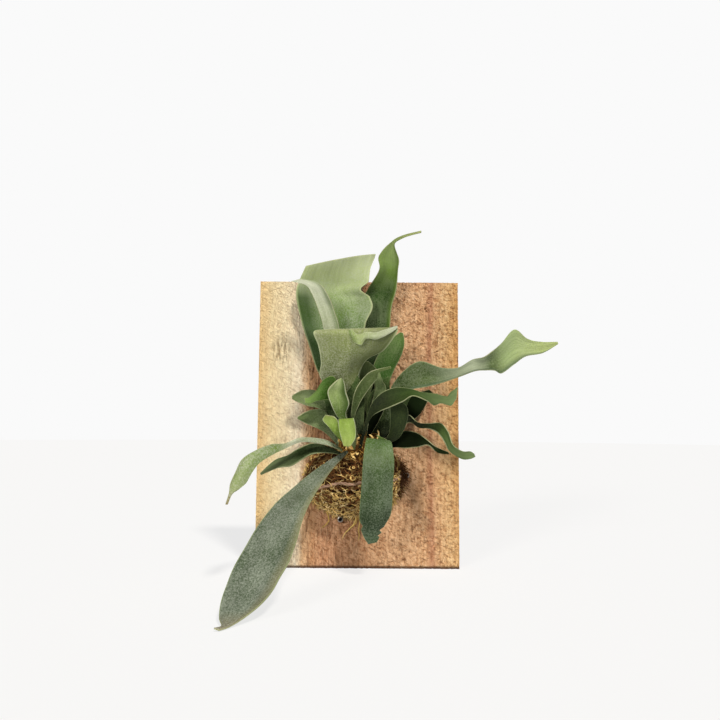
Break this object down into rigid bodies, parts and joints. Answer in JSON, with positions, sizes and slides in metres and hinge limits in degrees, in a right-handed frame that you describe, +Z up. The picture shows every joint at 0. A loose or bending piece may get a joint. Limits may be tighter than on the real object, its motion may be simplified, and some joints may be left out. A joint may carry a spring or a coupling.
{
  "type": "mounted staghorn fern",
  "caption": "Staghorn fern tied with twine in a mound of moss on an upright rectangular cedar board, with a hanger let into the back.",
  "frame": {"origin": "centre of the board's flat back face", "axes": "+Y into the wall the board hangs on, +Z up, +X to the right as seen from the front; the plant grows towards -Y"},
  "size_m": [0.2874, 0.2371, 0.3271],
  "materials": {
    "cedar": "rough-sawn, unfinished",
    "hanger_steel": "thin brass-toned zinc plating",
    "screw_steel": "zinc-plated, dulled",
    "roots": "matted fibrous roots and bark",
    "moss": "loose dried sphagnum strands",
    "jute": "two-ply twisted twine",
    "rhizome": "fuzzy brown scales and dried leaf bases",
    "frond_dark": "leathery, satin",
    "frond_grey": "leathery with a grey felt bloom",
    "frond_light": "leathery, lit yellow-green",
    "frond_young": "soft, bright yellow-green"
  },
  "bodies": {
    "root": {"board": "cedar", "sawtooth_hanger": "hanger_steel", "hanger_nail_left": "screw_steel", "hanger_nail_right": "screw_steel", "root_ball": "roots", "moss_mound": "moss", "crown_rhizome": "rhizome", "binding_twine": "jute", "anchor_screw_left": "screw_steel", "anchor_screw_right": "screw_steel", "anchor_screw_bottom": "screw_steel", "frond_back_broad": "frond_grey", "frond_pale_curl": "frond_light", "frond_tall_tail": "frond_dark", "frond_cup": "frond_grey", "frond_behind_right": "frond_dark", "frond_behind_lobe": "frond_grey", "frond_right_long": "frond_light", "frond_right_forked": "frond_grey", "frond_right_loop": "frond_grey", "frond_right_ribbon": "frond_grey", "frond_right_low": "frond_dark", "frond_right_shaded": "frond_dark", "frond_hanging": "frond_grey", "frond_floor": "frond_grey", "frond_left_upper": "frond_light", "frond_left_lower": "frond_dark", "frond_young_folded": "frond_young", "frond_young_side": "frond_young", "frond_young_spoon": "frond_young", "frond_young_left": "frond_light", "frond_left_round": "frond_dark", "frond_left_short": "frond_dark", "frond_centre_grey": "frond_grey", "frond_centre_small": "frond_grey", "frond_bud": "frond_young", "frond_centre_dark": "frond_dark"}
  },
  "joints": []
}
